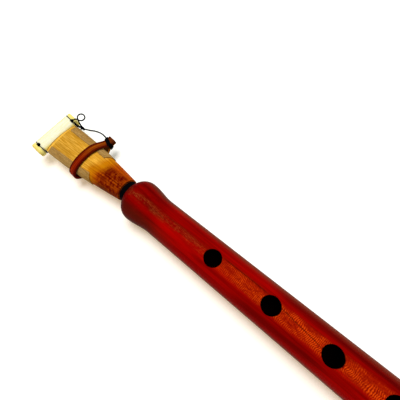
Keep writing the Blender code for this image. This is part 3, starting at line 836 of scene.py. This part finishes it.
def thread_looks():
    """Black waxed thread: twisted plies with fine fibres along them."""
    looks = Looks("waxed_thread", 0.55, 0.004)
    strand = looks.add("ShaderNodeUVMap", {}, uv_map=STRAND_MAP).outputs[0]
    u, v = looks.split(strand)[:2]
    plies = looks.math("SUBTRACT", v, looks.math("DIVIDE", u, MM * TWIST_PITCH))
    plies = looks.math("SINE", looks.times(plies, math.tau * PLIES))
    around = looks.math("SINE", looks.times(v, math.tau))
    fibres = looks.noise(looks.joined(looks.times(u, 1.2), around, plies), (3.0, 3.0, 3.0))
    colour = looks.ramp(
        fibres,
        (0.30, (0.0010, 0.0009, 0.0012)),
        (0.52, (0.0020, 0.0017, 0.0024)),
        (0.72, (0.0060, 0.0054, 0.0072)),
    )
    height = looks.math("MULTIPLY_ADD", fibres, 0.5, looks.times(plies, 0.25))
    roughness = looks.between(fibres, 0.3, 0.7, 0.40, 0.62)
    return looks.finish(colour, height, 0.35, 0.00008, roughness)


def seen_directly(tree):
    """1 for the rays that show a background: the camera's, and those that gloss and glass send."""
    rays = tree.nodes.new("ShaderNodeLightPath").outputs
    seen = rays["Is Camera Ray"]
    for name in ("Is Glossy Ray", "Is Transmission Ray"):
        either = tree.nodes.new("ShaderNodeMath")
        either.operation = "MAXIMUM"
        tree.links.new(seen, either.inputs[0])
        tree.links.new(rays[name], either.inputs[1])
        seen = either.outputs[0]
    return seen


def floor_looks():
    """A white table, whose shadows are lifted to warm on the near side and cool beyond."""
    looks = Looks("table", 0.70, 0.10)
    point = looks.millimetres((0.0, 0.0, 0.0))
    faint = looks.noise(point, (0.02, 0.02, 0.02), 2.0, 0.5)
    looks.feed(
        "Base Color", looks.ramp(faint, (0.3, (0.88, 0.88, 0.88)), (0.7, (0.90, 0.90, 0.90)))
    )
    y = looks.split(point)[1]
    looks.feed("Emission Color", looks.mix(looks.between(y, 0.0, 12.0), NEAR_LIFT, FAR_LIFT))
    looks.feed("Emission Strength", seen_directly(looks.tree))
    return looks.material


def make_studio():
    mesh = bpy.data.meshes.new("table")
    half = TABLE_SIZE / 2
    mesh.from_pydata(
        [(-half, -half, 0.0), (half, -half, 0.0), (half, half, 0.0), (-half, half, 0.0)],
        [],
        [(0, 1, 2, 3)],
    )
    mesh.materials.append(floor_looks())
    table = new_object("table", mesh)

    data = bpy.data.lights.new("key", "SUN")
    data.energy = LAMP_STRENGTH
    data.angle = LAMP_WIDTH
    lamp = new_object("key", data)
    lamp.rotation_mode = "QUATERNION"
    lamp.rotation_quaternion = Vector(LAMP_FROM).to_track_quat("Z", "Y")

    world = bpy.data.worlds.new("studio")
    bpy.context.scene.world = world
    world.use_nodes = True
    tree = world.node_tree
    light = tree.nodes["Background"]
    shown = tree.nodes.new("ShaderNodeBackground")
    for background, strength in ((light, WORLD_LEVEL), (shown, 1.0)):
        background.inputs["Color"].default_value = (1.0, 1.0, 1.0, 1.0)
        background.inputs["Strength"].default_value = strength
    either = tree.nodes.new("ShaderNodeMixShader")
    tree.links.new(seen_directly(tree), either.inputs[0])
    tree.links.new(light.outputs[0], either.inputs[1])
    tree.links.new(shown.outputs[0], either.inputs[2])
    tree.links.new(either.outputs[0], tree.nodes["World Output"].inputs["Surface"])
    bpy.context.scene.view_settings.view_transform = "Standard"


# Pieces


def add_piece(name, parts, material, slot, body, *nodes):
    """A new piece that stands for CAD nodes, which it hides. It is attached to a body when one is
    given.
    """
    piece = mesh_object(name, parts)
    piece.data.materials.append(material)
    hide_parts(*nodes)
    if body:
        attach(piece, body)
    return piece


def add_thread(name, parts, thread, body, *nodes):
    return add_piece(name, parts, thread, "waxed_thread", body, *nodes)


def make_tether(thread):
    """The tether in two lengths that meet between cap and bridle."""
    loop = smooth_curve(LOOP_ROUTE)
    run = smooth_curve(RUN_ROUTE)
    split = min(range(len(run)), key=lambda i: abs(run[i].x - TETHER_SPLIT))
    through = [
        p
        for p in smooth_curve((*LOOP_ROUTE[-2:], TETHER_KNOT, *RUN_ROUTE[:2]))
        if LOOP_ROUTE[-1][0] < p.x < RUN_ROUTE[0][0]
    ]
    front_line = [place(*p) for p in loop + through + run[: split + 1]]
    back_line = [place(*p) for p in run[split:]]
    front = add_thread(
        "tether_front", [thread_data(front_line, TETHER_RADIUS)], thread, None, "tether_loop"
    )
    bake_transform(front)
    back = add_thread(
        "tether_back", [thread_data(back_line, TETHER_RADIUS)], thread, None, "tether_thread"
    )
    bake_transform(back)

    along = place(*RUN_ROUTE[0]) - place(*LOOP_ROUTE[-1])
    up = Vector((0.0, 0.0, 1.0))
    tail = [place(*p) for p in smooth_curve(TAIL_ROUTE)]
    beside = [p + Vector(SECOND_STRAND) for p in tail]
    knot = add_thread(
        "tether_knot_and_end",
        [
            knot_data(place(*TETHER_KNOT), along, up, TETHER_KNOT_SIZE, TETHER_KNOT_RADIUS),
            thread_data(tail, TETHER_RADIUS),
            thread_data(beside, TETHER_RADIUS),
        ],
        thread,
        "cap",
        "tether_knot",
        "tether_tail",
    )


def tie_point(side, angle, lift=0.0):
    """A point on the middle of a tie that goes round the cap in its notch."""
    half_width = CAP_HALF_WIDTH - TIE_NOTCH + TIE_RADIUS + lift
    half_height = CAP_HALF_HEIGHT + TIE_RADIUS + lift
    x, z = super_arc(half_width, half_height, CAP_POWER, angle)
    return cap_place(x, side, z)


def make_cap_ties(thread):
    """A ring of thread in each notch of the cap, with its knot on top."""
    along = cap_place(0.0, 1.0, 0.0) - cap_place(0.0, 0.0, 0.0)
    for name, side, turn in CAP_TIES:
        ring = [tie_point(side, math.tau * (i + 0.5) / TIE_POINTS) for i in range(TIE_POINTS)]
        centre = tie_point(side, turn, KNOT_LIFT)
        out = centre - tie_point(side, turn)
        knot = knot_data(centre, out.cross(along), out, TIE_KNOT_SIZE, TIE_KNOT_RADIUS)
        add_thread(
            name + "_thread",
            [thread_data(ring, TIE_RADIUS, closed=True), knot],
            thread,
            "cap",
            name,
        )


def lapping_point(first, radius, i, angle_from=0.0):
    """A point of a thread wound on the reed's tail."""
    angle = math.tau * i / LAPPING_POINTS + angle_from
    along = first + LAPPING_PITCH * i / LAPPING_POINTS
    return place(along, radius * math.cos(angle), radius * math.sin(angle))


def make_lapping(thread):
    """Thread wound turn against turn on the tail, over an under-layer that shows at its ends."""
    radius = LAPPING_RADIUS - THREAD_RADIUS
    first = -LAPPING_SHOWN + SEAT_GAP + THREAD_RADIUS
    count = LAPPING_POINTS * int((TAIL_LENGTH - THREAD_RADIUS - first) / LAPPING_PITCH)
    outer = []
    for i in range(count + 1):
        ease = min(1.0, i / LAPPING_POINTS, (count - i) / LAPPING_POINTS)
        sunk = (1 - rounded(ease)) * 0.5 * THREAD_RADIUS
        outer.append(lapping_point(first, radius - sunk, i))
    parts = [thread_data(outer, around=8, plied=False)]
    under = TAIL_RADIUS + SEAT_GAP + THREAD_RADIUS * 0.8
    for start in (first - 0.2 * THREAD_RADIUS, TAIL_LENGTH - (UNDER_TURNS + 0.2) * LAPPING_PITCH):
        line = [
            lapping_point(start, under, i, 1.0) for i in range(UNDER_TURNS * LAPPING_POINTS + 1)
        ]
        parts.append(thread_data(line, around=8, plied=False))
    add_thread("reed_lapping", parts, thread, "reed", "lapping_thread", "lapping_bed")


def strip_height():
    nearest_tube = BRIDLE_PLACE - BRIDLE_TO_TUBE - STRIP_WIDTH / 2
    return blade_half_height(blade_share(-nearest_tube)) + SEAT_GAP + STRIP_WALL / 2


def strip_level(side):
    """Height over the axis of the strip's middle, which falls to where its legs meet."""
    together = (STRIP_WALL + SEAT_GAP) / 2
    along = min(side / STRIP_MEET, 1.0) ** STRIP_MEET_POWER
    ease = 0.5 * (1 + math.cos(math.pi * along))
    return together + (strip_height() - together) * ease


def make_binding(thread):
    """Thread wound tightly round the strip's bound ends, in turns that lie a little aslant."""
    half_width = STRIP_WIDTH / 2 + SEAT_GAP / 2 + THREAD_RADIUS
    line = []
    for i in range(BINDING_TURNS * BINDING_POINTS + 1):
        angle = math.tau * (i + BINDING_FIRST) / BINDING_POINTS
        x, z = super_arc(half_width, 1.0, BINDING_POWER, angle)
        side = BINDING_PLACE + BINDING_PITCH * (i / BINDING_POINTS - BINDING_TURNS / 2)
        side -= BINDING_SLANT * x
        level = strip_level(side - THREAD_RADIUS) + STRIP_WALL / 2 + 0.9 * THREAD_RADIUS
        line.append(bridle_place(x, side, z * level))
    parts = [thread_data(line, around=10, plied=False)]
    add_thread("bridle_binding_thread", parts, thread, "bridle", "bridle_binding")


def tape_half_angle(s):
    """Angle about the reed's axis that half of a tape takes up over the blade."""
    along = (-s - TAPE_START) / (LEFT_TAPE_END - TAPE_START)
    wanted = TAPE_HALF_THROAT + (TAPE_HALF_MOUTH - TAPE_HALF_THROAT) * along
    step = math.radians(1)
    half = 0.0
    length = 0.0
    while length < wanted and half < math.radians(85):
        length += (blade_point(s, half + step) - blade_point(s, half)).length
        half += step
    return half


def make_tapes(paper):
    """Paper strips folded round the blade's edges, cut a little aslant at their ends."""
    rings = 60
    around = 40
    faces = []
    for i in range(rings - 1):
        a = 2 * around * i
        b = a + around
        c = b + around
        d = c + around
        for k in range(around - 1):
            faces.append((a + k, a + k + 1, c + k + 1, c + k))
            faces.append((b + k + 1, b + k, d + k, d + k + 1))
        for k in (0, around - 1):
            faces.append((a + k, b + k, d + k, c + k))
    for a in (0, 2 * around * (rings - 1)):
        b = a + around
        for k in range(around - 1):
            faces.append((a + k, a + k + 1, b + k + 1, b + k))
    uvs = [((0.0, 0.0),) * 4 for _ in faces]
    for name, middle, tape_end in (
        ("reed_tape_right", 0.0, RIGHT_TAPE_END),
        ("reed_tape_left", math.pi, LEFT_TAPE_END),
    ):
        verts = []
        for i in range(rings):
            along = i / (rings - 1)
            s = -TAPE_START - (tape_end - TAPE_START) * along
            half = tape_half_angle(s)
            for wall in (SEAT_GAP + TAPE_WALL, SEAT_GAP):
                for k in range(around):
                    share = 2 * k / (around - 1) - 1
                    slant = TAPE_SLANT * (0.5 - abs(share)) * (1 - along)
                    verts.append(place(*point_over_blade(s + slant, middle + half * share, wall)))
        add_piece(name + "_paper", [(verts, faces, uvs)], paper, "paper_tape", "reed", name)


def dress(node, material):
    """Gives a CAD node its material."""
    data = NODES[node].data
    data.materials.clear()
    data.materials.append(material)


make_camera()
thread = thread_looks()
make_tether(thread)
make_cap_ties(thread)
make_lapping(thread)
make_binding(thread)
make_tapes(tape_looks())
dress("body_tube", stained_wood())
dress("reed_cane", cane_looks())
dress("bridle_strip", strip_looks())
cap_wood = cap_looks()
dress("cap_board_upper", cap_wood)
dress("cap_board_lower", cap_wood)
make_studio()
